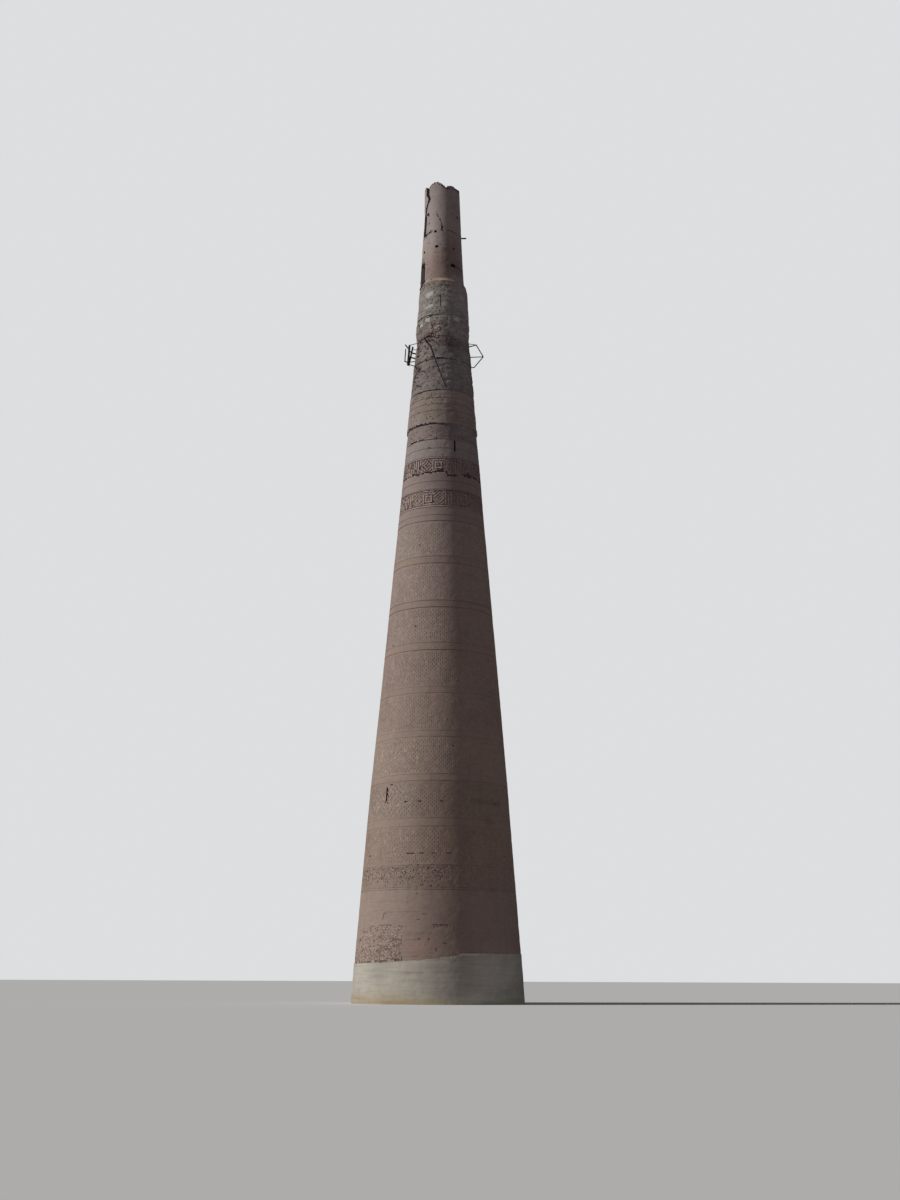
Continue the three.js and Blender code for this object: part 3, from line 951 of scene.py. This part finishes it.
# Smooth bands between the patterned drums, each between two thin grooves
bandGrooves = {
    1: [(11.27, 0.03, 0.012), (11.78, 0.03, 0.012)],
    2: [(14.27, 0.04, 0.02), (14.7, 0.03, 0.012)],
    3: [(17.23, 0.03, 0.015), (17.62, 0.03, 0.01)],
    4: [(20.23, 0.03, 0.015), (20.65, 0.03, 0.01)],
    5: [(23.24, 0.05, 0.03), (23.76, 0.04, 0.02)],
    6: [(26.28, 0.06, 0.035), (26.77, 0.05, 0.025)],
    7: [(29.48, 0.06, 0.03), (29.99, 0.05, 0.022)],
    8: [(32.62, 0.06, 0.03), (33.06, 0.05, 0.022), (33.66, 0.06, 0.03)],
    9: [(35.0, 0.04, 0.02), (35.62, 0.04, 0.025)],
}
bandTints = [(1.0, 0.99, 0.98)] * 3 + [(0.95, 0.94, 0.94)] * 4 + [(0.88, 0.9, 0.98)] * 2
brokenBand = 9
brokenEdge = {
    "cut": sunk(0.09, "shadow"),
    "middle": [
        (-180, 36.2), (-60, 36.3), (-12, 36.27), (-8, 36.38), (5, 36.38), (9, 36.1), (20, 36.1),
        (34, 36.25), (180, 36.2),
    ],
    "thick": [
        (-180, 0.1), (-70, 0.08), (-48, 0.13), (-33, 0.08), (-28, 0.13), (-12, 0.12), (-8, 0.2), (6, 0.2),
        (9, 0.17), (21, 0.17), (23, 0.04), (31, 0.04), (34, 0.2), (45, 0.2), (48, 0.05), (52, 0.06),
        (55, 0.2), (64, 0.17), (80, 0.1), (180, 0.1),
    ],
    "bites": [(14, 36.05, 0.3, 0.16), (38, 36.24, 0.34, 0.24), (-36, 36.2, 0.2, 0.16)],
}


# The ragged, fallen edge at the foot of the upper carved band
def isBroken(angle, height, width):
    if isInHole(brokenEdge["bites"], angle, height, width):
        return True
    middle = readAlong(brokenEdge["middle"], angle) + 0.07 * wander(angle, 0.13, 2.4, 0.7)
    lumps = wander(angle, 0.31, 6.2, 9.1) + 1.3 * wander(angle, 0.85, 3.2, 4.1)
    thick = readAlong(brokenEdge["thick"], angle) * (0.85 + 1.1 * lumps)
    return abs(height - middle) < thick / 2


def makeBand(number):
    wall = Wall(f"smooth_band_{number}", [f"plain_band_{number}"], "brick", bandGrooves[number])

    def choose(row, column, angle, height):
        if number == brokenBand and isBroken(angle, height, wall.width):
            return "broken"
        return "flake" if wall.dice.random() < 0.004 else None

    wall.carve(choose, {"broken": brokenEdge["cut"], "flake": sunk(0.015)})
    wall.wear(0.012, 0.6)
    wall.finish("brick", bandTints[number - 1])


# Two carved bands of generic ornament: bars of four heights, nested lozenges and square frets
friezes = {
    "middle_frieze": {
        "worn": [
            (-180, 0.2), (-72, 0.85), (-56, 0.75), (-46, 0.2), (-40, 0.08), (6, 0.1), (25, 0.35), (60, 0.5),
            (180, 0.2),
        ],
        "grooves": [(33.8, 0.05, 0.025), (34.92, 0.05, 0.025)],
    },
    "upper_frieze": {
        "worn": [(-180, 0.2), (-70, 0.6), (-48, 0.4), (-30, 0.15), (8, 0.15), (40, 0.4), (180, 0.25)],
        "grooves": [(37.38, 0.05, 0.03)],
    },
}
motif = {
    "width": 12, "rowHeight": 0.066, "barHeights": (1.0, 0.62, 0.85, 0.45), "litUpTo": 4, "pit": 0.04,
    "tint": (0.92, 0.94, 1.02),
}


# Each tile of the ornament is standing bars, lozenges, hanging bars or a fret, between raised borders
def isRaised(column, row, rows):
    tile, x = divmod(column, motif["width"])
    if row <= 1 or row >= rows:
        return True
    across, up = abs(x - motif["width"] // 2), abs(row - rows // 2)
    kind = (tile * 7 // 3) % 4
    if kind == 0:
        return x % 3 == 0 and row < motif["barHeights"][x // 3] * rows or row == 3
    if kind == 1:
        return (across + up) % 4 == 0
    if kind == 2:
        return x % 3 == 1 and row > (1 - motif["barHeights"][x // 3]) * rows or row == rows - 3
    return max(across, up) % 3 == 0 and not (across == 0 and row > rows // 2)


def makeFrieze(node):
    band = friezes[node]
    wall = Wall(f"carved_{node}", [node], "brick", band["grooves"], motif["rowHeight"])
    rows = max(row for row, column in wall.cells)

    def choose(row, column, angle, height):
        if node == "upper_frieze" and isBroken(angle, height, wall.width):
            return "broken"
        wornAway = readAlong(band["worn"], angle)
        roll = wall.dice.random()
        # On the lit side, raised strokes that are not worn away get the stroke look, a painted highlight
        if isRaised(column, row, rows):
            return "stroke" if roll > wornAway and angle < motif["litUpTo"] else None
        if roll > 1 - motif["pit"]:
            return "pit"
        return "ground" if roll > wornAway else "shallow"

    # The darker looks of these cuts are painted shade in the sunk cells
    wall.carve(choose, {
        "broken": brokenEdge["cut"],
        "stroke": sunk(0, "stroke"),
        "ground": sunk(0.035, "dim", 0.008),
        "shallow": sunk(0.02, None, 0.008),
        "pit": sunk(0.06, "shadow"),
    })
    wall.wear(0.02, 0.35)
    wall.finish("carved_brick", motif["tint"])


# The weathered zones: tint, share of lost facing and its depth, lines round the wall, wear and openings.
# What a zone doesn't name is as in the plain one.
plainZone = {"slot": "worn_brick", "look": "worn", "grooves": [], "blocks": 0, "openings": []}
wornZones = {
    "slit_drum": {
        "slot": "brick", "look": "brick", "tint": (0.87, 0.96, 1.08),
        "loss": 0.02, "depth": 0.03, "patches": 0.04,
        "grooves": [(37.5, 0.04, 0.02), (38.15, 0.05, 0.03), (38.85, 0.06, 0.04)],
        "openings": [{"angle": a, "wide": 0.15, "sill": 37.95, "head": 38.85} for a in (19.5, -160.5)],
    },
    "pitted_drum": {
        "tint": (0.71, 0.745, 0.82), "loss": 0.08, "depth": 0.035, "blocks": 0.02, "patches": 0.1,
    },
    "toothed_lip": {
        "slot": "carved_brick", "look": "brick", "tint": (0.84, 0.89, 0.96), "depth": 0.02, "patches": 0.05,
    },
    "hooped_drum": {
        "slot": "brick", "look": "brick", "tint": (0.84, 0.88, 0.92),
        "loss": 0.035, "depth": 0.03, "blocks": 0.015, "patches": 0.1,
        "grooves": [(41.1, 0.04, 0.025), (41.62, 0.04, 0.025), (42.1, 0.04, 0.025), (42.7, 0.08, 0.05)],
    },
    "worn_drum_1": {
        "tint": (0.62, 0.69, 0.77), "loss": 0.07, "depth": 0.045, "blocks": 0.05, "patches": 0.2,
        "grooves": [(45.2, 0.09, 0.05)],
    },
    "worn_drum_2": {"tint": (0.60, 0.66, 0.73), "loss": 0.1, "depth": 0.05, "blocks": 0.06, "patches": 0.22},
    "worn_drum_3": {"tint": (0.68, 0.75, 0.80), "loss": 0.07, "depth": 0.05, "blocks": 0.05, "patches": 0.2},
    "gallery_drum": {
        "tint": (0.83, 0.95, 1.02), "loss": 0.06, "depth": 0.035, "blocks": 0.04, "patches": 0.16,
        "grooves": [(48.82, 0.09, 0.06), (49.45, 0.03, 0.012), (50.3, 0.03, 0.015)],
    },
    "gallery_ledge": {
        "look": "brick", "tint": (1.14, 1.2, 1.26),
        "loss": 0.06, "depth": 0.03, "blocks": 0.02, "patches": 0.12,
    },
}
# The gap cells under the toothed lip are sunk and painted near black, tallest on the lit left side: a painted
# shadow under the lip
teeth = {
    "tall": [(-90, 1), (-62, 2), (-22, 2), (-12, 1.1), (-2, 0.3), (16, 0), (180, 0.5)],
    "least": 0.8, "spread": 1.9, "pace": 0.4,
}
# Cracks, pits, hair lines, rims and two painted shadow lines: (cut, width, corners)
scarsAndShadowLines = [
    ("crack", 0.12, [(-42, 47.1), (-25, 46.3), (-15, 45.3)]),
    ("crack", 0.07, [(-15, 45.3), (-5, 44.2), (7, 43.0)]),
    ("pit", 0.07, [(-56, 44.9), (-48, 44.5), (-36, 44.35), (-28, 43.9)]),
    ("pit", 0.07, [(-60, 43.6), (-50, 43.3), (-40, 43.2)]),
    ("pit", 0.07, [(-26, 48.2), (-20, 47.6), (-24, 47.3)]),
    ("hair", 0.06, [(-2, 48.3), (-1, 47.8), (-4, 47.4), (-14, 47.3)]),
    ("rim", 0.07, [(-40, 46.78), (-29, 46.28), (-20, 45.58)]),
    ("hair", 0.05, [(-58, 44.35), (-28, 44.3), (-20, 44.1), (-8, 43.4), (2, 42.9)]),
    ("hair", 0.06, [(-52, 43.25), (-38, 43.45), (-30, 43.5)]),
    ("pit", 0.07, [(-74, 45.3), (-62, 44.95), (-58, 44.6), (-66, 44.2), (-72, 43.9), (-60, 43.8)]),
    ("hair", 0.06, [(20, 44.1), (40, 43.9), (62, 43.4)]),
    ("crack", 0.09, [(-44, 38.92), (-52, 38.9), (-66, 38.85)]),
    ("pit", 0.07, [(-42, 38.86), (-30, 38.92), (-24, 38.84), (-8, 38.9)]),
    ("pit", 0.07, [(-20, 45.3), (5, 45.27), (20, 45.2)]),
    ("pit", 0.07, [(-6, 50.6), (-6, 49.45)]),
    ("pit", 0.09, [(-60, 48.3), (-42, 48.65), (-20, 48.75)]),
    # Painted shadow under the toothed lip, on the lit side
    ("pit", 0.1, [(-62, 40.05), (-40, 40.04), (-10, 40.04)]),
    ("crack", 0.42, [(-104, 51.62), (-70, 51.62), (-57, 51.82)]),
    ("crack", 0.08, [(-80, 47.05), (-60, 47.0), (-36, 47.1)]),
    ("pit", 0.07, [(-36, 47.1), (-22, 47.25), (-10, 47.2)]),
    # Painted shade in the groove at the top of the hooped drum, on the lit side
    ("pit", 0.09, [(-60, 42.72), (-20, 42.72), (-4, 42.72)]),
    ("crack", 0.1, [(130, 47.0), (150, 45.6), (165, 44.2)]),
]
roughAreas = [
    (-20, 47.15, 0.95, 0.55), (-60, 46.5, 0.6, 1.4), (-14, 47.75, 0.75, 0.8), (-60, 44.6, 0.9, 1.3),
    (-50, 42.4, 1.2, 0.6), (-12, 42.3, 1.4, 0.5), (-58, 48.4, 0.4, 0.7), (10, 46.9, 0.7, 0.8),
    (-60, 51.3, 0.8, 0.6), (140, 46.4, 1.4, 1.2),
]
speckAreas = [
    (-34, 44.85, 1.5, 0.55), (3, 44.3, 0.85, 0.28), (-52, 43.8, 0.6, 0.7), (-8, 38.8, 0.6, 0.12),
    (-25, 37.5, 1.0, 0.12), (-8, 42.25, 0.9, 0.3), (-30, 39.6, 2.0, 0.9), (-14, 47.6, 0.7, 0.7),
]
paleBlocks = [
    (-36, 50.58, 0.62, 0.3), (-27, 50.6, 0.2, 0.36), (-36, 50.32, 0.3, 0.12), (-36, 49.55, 0.66, 0.26),
    (-28, 49.62, 0.3, 0.2), (-35, 48.52, 0.42, 0.4), (-55, 48.34, 0.36, 0.46), (32, 48.5, 0.5, 0.24),
    (1, 51.05, 0.12, 0.12), (17, 51.0, 0.16, 0.1), (150, 50.4, 0.6, 0.4), (-130, 49.6, 0.5, 0.3),
    (80, 47.9, 0.4, 0.3),
]


wornCells = {
    "lineShare": 0.85, "whitestDrum": "worn_drum_3", "shaded": (-6, 130),
    "wavyEdge": {"size": 0.06, "pace": 0.4, "climb": 5, "blocks": 20, "rough": 60, "specks": 40},
    "patchy": {"across": 1.6, "up": 2.4, "whole": 0.6, "spread": 0.7, "rough": 1.4},
    "grain": (0.16, 1.7, 0.16),
    "bare": 0.3, "speck": 0.22, "loss": 2, "shadedLoss": 1, "dent": 0.35, "pale": 0.7,
}


def makeWorn(node):
    zone = {**plainZone, **wornZones[node]}
    wavy, patchy = wornCells["wavyEdge"], wornCells["patchy"]
    wall = Wall(f"{node}_brickwork", [node], zone["look"], zone["grooves"], openings=zone["openings"])

    def chooseTooth(row, column, angle, height):
        lump = teeth["least"] + teeth["spread"] * wander(angle, teeth["pace"], 1.5, 2.5)
        return "gap" if row <= readAlong(teeth["tall"], angle) * lump else None

    def choose(row, column, angle, height):
        cut = lineCut(scarsAndShadowLines, wall, angle, height, wornCells["lineShare"], "crack")
        if cut:
            return cut
        wobble = wavy["size"] * wander(angle, wavy["pace"], height * wavy["climb"], 2.2)

        def isWithin(areas, swing):
            return isInHole(areas, angle + wavy[swing] * wobble, height + wobble, wall.width)

        # In the whitest drum the pale blocks on the lit side get the brighter white look, a painted
        # highlight; elsewhere they are pale stone
        if isWithin(paleBlocks, "blocks"):
            return "white" if node == wornCells["whitestDrum"] and angle < 0 else "stone"
        spot = Vector((arc(angle, wall.width) * patchy["across"], height * patchy["up"], 1.7))
        isRough = isWithin(roughAreas, "rough")
        share = clamp(patchy["whole"] + patchy["spread"] * crumple(spot)) + patchy["rough"] * isRough
        loss = zone["loss"] * share
        isShaded = wornCells["shaded"][0] < angle < wornCells["shaded"][1]
        roll = wall.grain(angle, height, *wornCells["grain"])
        if isRough and wall.dice.random() < wornCells["bare"]:
            return "bare"
        if isWithin(speckAreas, "specks") and wall.dice.random() < wornCells["speck"]:
            return "pale"
        if roll < wornCells["loss"] * loss:
            if isShaded:
                return "flake" if roll > wornCells["shadedLoss"] * loss else "loss"
            return "loss" if roll > wornCells["dent"] * loss else "dent"
        return "pale" if roll > 1 - wornCells["pale"] * zone["loss"] and not isShaded else None

    # The darker looks of these cuts are painted shade in the sunk cells
    wall.carve(chooseTooth if node == "toothed_lip" else choose, {
        "crack": sunk(0.06, "deep"),
        "hair": sunk(0.015, "dim"),
        "gap": sunk(0.05, "deep"),
        "pit": sunk(zone["depth"] * 1.4, "shadow"),
        "dent": sunk(zone["depth"], "dull", 0.01),
        "loss": sunk(zone["depth"] * 0.6, "dim", 0.014),
        "flake": sunk(zone["depth"] * 0.4, None, 0.01),
        "pale": sunk(0, "pale"),
        "stone": sunk(0, "stone"),
        "white": sunk(0, "white"),
        "rim": sunk(0, "pinkish"),
        "bare": sunk(zone["depth"] * 0.6, "rubble"),
    })
    wall.wear(zone["depth"], 0.45, zone["blocks"])
    wall.finish(zone["slot"], zone["tint"], zone["patches"])


# The slim upper stage, with its doorway, cracks, holes, the gap on the left and the broken top
upperStage = {
    "door": {"angle": -71.5, "wide": 0.93, "sill": 51.9, "head": 53.45},
    "crown": [
        (-180, 59.45), (-150, 59.3), (-120, 59.35), (-98, 59.7), (-88, 59.85), (-70, 59.85), (-58, 59.76),
        (-48, 59.62), (-44, 59.68), (-37, 59.86), (-27, 59.93), (-18, 59.94), (-7, 59.85), (0, 59.72),
        (7, 59.6), (12, 59.43), (15, 59.45), (18.6, 59.56), (30, 59.7), (45, 59.62), (64, 59.6),
        (78, 59.72), (92, 59.8), (120, 59.5), (150, 59.65), (180, 59.45),
    ],
    "ragged": ((0.05, 0.11, 2.2), (0.04, 0.5, 5.2)),
    "gapLeft": [
        (55.6, -72), (55.9, -78), (56.3, -84), (57.4, -80), (57.65, -70), (58.1, -66), (58.4, -57),
        (58.75, -52), (59.0, -58), (59.2, -65), (60.4, -65),
    ],
    "gapRight": [
        (55.6, -62), (55.9, -57), (56.5, -57), (57.05, -56), (57.6, -61), (58.07, -54), (58.35, -47.5),
        (58.6, -40), (58.85, -43), (59.0, -46), (59.3, -47), (60.4, -47),
    ],
    "lines": [
        ("crack", 0.075, [(-18, 57.25), (-8, 56.85), (-1, 56.35)]),
        ("crack", 0.1, [(-1, 56.35), (0.5, 55.8)]),
        ("hair", 0.06, [(0.5, 55.8), (6, 55.6), (11, 55.35)]),
        ("pit", 0.08, [(16, 55.85), (30, 55.8), (45, 55.76)]),
        ("hair", 0.06, [(45, 55.76), (75, 55.7)]),
        ("pit", 0.13, [(33, 52.98), (48, 52.88), (78, 52.86)]),
        ("crack", 0.18, [(-57, 55.7), (-46, 55.76), (-34, 55.84)]),
        # Sunk and painted near black left of the door: a broken edge, with painted shade for the deeper
        # broken hollow beside the door
        ("crack", 0.4, [(-104, 53.4), (-96, 52.7), (-96, 52.1)]),
        ("crack", 0.09, [(-53.5, 53.3), (-53.5, 51.95)]),
        ("hair", 0.24, [(-100, 55.5), (-58, 55.5)]),
        ("hair", 0.05, [(-28, 54.05), (-14, 53.95), (2, 54.0)]),
        ("crack", 0.09, [(120, 57.5), (128, 56.4), (150, 55.2)]),
    ],
    "holes": [
        (-52, 57.42, 0.22, 0.18), (-21, 55.77, 0.24, 0.22), (-15, 54.47, 0.22, 0.2), (-3, 54.6, 0.08, 0.08),
        (-62, 54.35, 0.22, 0.2), (31, 52.98, 0.36, 0.22), (50, 57.2, 0.1, 0.1), (35, 54.4, 0.12, 0.1),
        (92, 55.75, 0.2, 0.16), (150, 54.4, 0.16, 0.14), (-130, 57.0, 0.16, 0.14), (-150, 53.2, 0.2, 0.2),
    ],
    "pits": [
        (-46, 57.28, 0.12, 0.14), (-44, 56.6, 0.1, 0.1), (-40, 54.9, 0.2, 0.08), (55, 57.15, 0.2, 0.2),
        (30, 57.3, 0.1, 0.1),
    ],
    # Cells this far below the broken top are sunk and painted near black, painted shade in the rough broken
    # edge
    "shadedCrownEdge": [(-180, 0.1), (-18, 0.08), (-10, 0.2), (16, 0.22), (60, 0.28), (95, 0.1), (180, 0.1)],
    "shadedCrownGrain": 0.12, "shadedCrownShare": 0.55, "lineShare": 0.9, "gapFrom": 55.65,
    "overDoor": {"tall": 0.45, "reach": 14, "pit": 0.35},
    "flake": 0.012, "pale": 0.008,
    "tint": (1.03, 1.12, 1.26),
}


def isWallLeft(angle, height):
    stage = upperStage
    ragged = sum(size * wander(angle, pace, seed) for size, pace, seed in stage["ragged"])
    if height > readAlong(stage["crown"], angle) + ragged:
        return False
    isInGap = readAlong(stage["gapLeft"], height) < angle < readAlong(stage["gapRight"], height)
    return height <= stage["gapFrom"] or not isInGap


def makeUpper(node):
    stage, door, over = upperStage, upperStage["door"], upperStage["overDoor"]
    isLowest = node == "upper_shaft_lower"
    openings, keep = ([door], None) if isLowest else ([], isWallLeft)
    wall = Wall(f"{node}_brickwork", [node], "brick", openings=openings, keep=keep)

    def choose(row, column, angle, height):
        if isInHole(stage["holes"], angle, height, wall.width):
            return "hole"
        cut = lineCut(stage["lines"], wall, angle, height, stage["lineShare"])
        if cut:
            return cut
        if isInHole(stage["pits"], angle, height, wall.width):
            return "pit"
        # Painted shade along the broken top: cells near it are sunk and painted near black
        if node == "crown_drum":
            isEdge = readAlong(stage["crown"], angle) - height < readAlong(stage["shadedCrownEdge"], angle)
            if isEdge and wall.grain(angle, height, stage["shadedCrownGrain"]) < stage["shadedCrownShare"]:
                return "crack"
        roll = wall.dice.random()
        rise = (height - door["head"]) / over["tall"]
        if isLowest and abs(turnBetween(angle, door["angle"])) < over["reach"] and 0 < rise < 1:
            return "pit" if roll > rise + over["pit"] else "hair"
        return "flake" if roll < stage["flake"] else "pale" if roll > 1 - stage["pale"] else None

    # The darker looks of these cuts are painted shade in the sunk cells
    wall.carve(choose, {
        "hole": sunk(0.2, "deep"),
        "crack": sunk(0.08, "deep"),
        "pit": sunk(0.03, "shadow"),
        "hair": sunk(0.015, "dim"),
        "pale": sunk(0, "pale"),
        "flake": sunk(0.02),
    })
    wall.wear(0.018, 0.5)
    wall.finish("upper_brick", upperStage["tint"], 0.03)


# Copies a CAD piece, and lengthens its ends that meet the wall so that they reach the worn face
iron = {
    "walls": ("worn_drum_1", "worn_drum_2", "worn_drum_3", "upper_shaft_middle"),
    "reachIn": 0.3, "near": 0.024,
}


def dressIron(node, finish):
    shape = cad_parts[node].data.copy()
    side = 1 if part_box(node)[0].x > 0 else -1
    rings = [ringSizes([wall]) for wall in iron["walls"]]
    for corner in shape.vertices:
        co = corner.co
        ring = next((r for r in rings if r["bottom"] <= co.z <= r["top"]), rings[-1])
        if math.hypot(co.x, co.y) < radiusAt(ring, co.z) + iron["near"] * half:
            co.x -= side * iron["reachIn"] * half
        co.x += readAlong(outline["lean"], co.z / half) * half
    shape.materials.clear()
    shape.materials.append(finishes[finish])
    piece = addToScene(f"{node}_bars", shape)
    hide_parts(node)
    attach(piece, "root")


# The camera stands on the ground in front and looks up, rolled by the small drift of the photo's upright
view = {"place": (0.35, -51.65, 0.775), "pitch": 14.2, "roll": 0.226, "lens": 45, "sensor": 36, "reach": 2000}


def makeCamera():
    camera = bpy.data.cameras.new("camera")
    camera.lens = view["lens"]
    camera.sensor_width = view["sensor"]
    camera.clip_end = view["reach"]
    holder = addToScene("camera", camera)
    tilt = Matrix.Rotation(math.radians(90 + view["pitch"]), 4, "X")
    roll = Matrix.Rotation(math.radians(view["roll"]), 4, "Z")
    holder.matrix_world = Matrix.Translation(view["place"]) @ tilt @ roll
    bpy.context.scene.camera = holder


# One soft key light from the left, a dim sky and a pale floor that throws back only a little light
studio = {
    "sunAngle": -77, "sunHeight": 30, "sunPower": 2.55, "sunSoftness": 4,
    "backdrop": (0.72, 0.73, 0.74), "fill": 0.125,
    "floor": (0.84, 0.83, 0.81), "floorBounce": (0.46, 0.40, 0.455), "floorSize": 1200,
}


def seenByCamera(tree):
    return Wire(tree, tree.nodes.new("ShaderNodeLightPath").outputs["Is Camera Ray"])


def makeStudio():
    sun = bpy.data.lights.new("key_light", "SUN")
    sun.energy = studio["sunPower"]
    sun.angle = math.radians(studio["sunSoftness"])
    side, up = math.radians(studio["sunAngle"]), math.radians(studio["sunHeight"])
    towards = Vector((math.sin(side) * math.cos(up), -math.cos(side) * math.cos(up), math.sin(up)))
    addToScene("key_light", sun).matrix_world = towards.to_track_quat("Z", "Y").to_matrix().to_4x4()
    world = bpy.data.worlds.new("studio")
    bpy.context.scene.world = world
    world.use_nodes = True
    glow = world.node_tree.nodes["Background"]
    glow.inputs["Color"].default_value = (*studio["backdrop"], 1)
    strength = seenByCamera(world.node_tree) * (1 - studio["fill"]) + studio["fill"]
    world.node_tree.links.new(strength.socket, glow.inputs["Strength"])
    bpy.context.scene.view_settings.view_transform = "Standard"


def makeFloor():
    ground = bmesh.new()
    bmesh.ops.create_grid(ground, x_segments=1, y_segments=1, size=studio["floorSize"] / 2)
    shape = bpy.data.meshes.new("floor")
    ground.to_mesh(shape)
    ground.free()
    material = bpy.data.materials.new("studio_floor")
    material.use_nodes = True
    tree = material.node_tree
    tree.nodes.remove(tree.nodes["Principled BSDF"])
    seen = seenByCamera(tree)
    dim = seen.add("ShaderNodeBsdfDiffuse", None, {"Color": (*studio["floorBounce"], 1)})
    pale = seen.add("ShaderNodeBsdfDiffuse", None, {"Color": (*studio["floor"], 1)})
    both = seen.add("ShaderNodeMixShader", None, {0: seen, 1: dim, 2: pale})
    tree.links.new(both.socket, tree.nodes["Material Output"].inputs["Surface"])
    shape.materials.append(material)
    floor = addToScene("floor", shape)


makeCamera()
makeStudio()
makeFloor()
print("camera and studio ready")
makeSkirt()
makeLowerBrick()
makeLowerFrieze()
for drumNumber in patterned["tints"]:
    makePatterned(drumNumber)
for bandNumber in bandGrooves:
    makeBand(bandNumber)
for friezeNode in friezes:
    makeFrieze(friezeNode)
for wornNode in wornZones:
    makeWorn(wornNode)
for upperNode in ("upper_shaft_lower", "upper_shaft_middle", "crown_drum"):
    makeUpper(upperNode)
for ironNode in ("left_iron_frame", "right_iron_frame"):
    dressIron(ironNode, "iron")
dressIron("wooden_peg", "wood")
print("dressed")
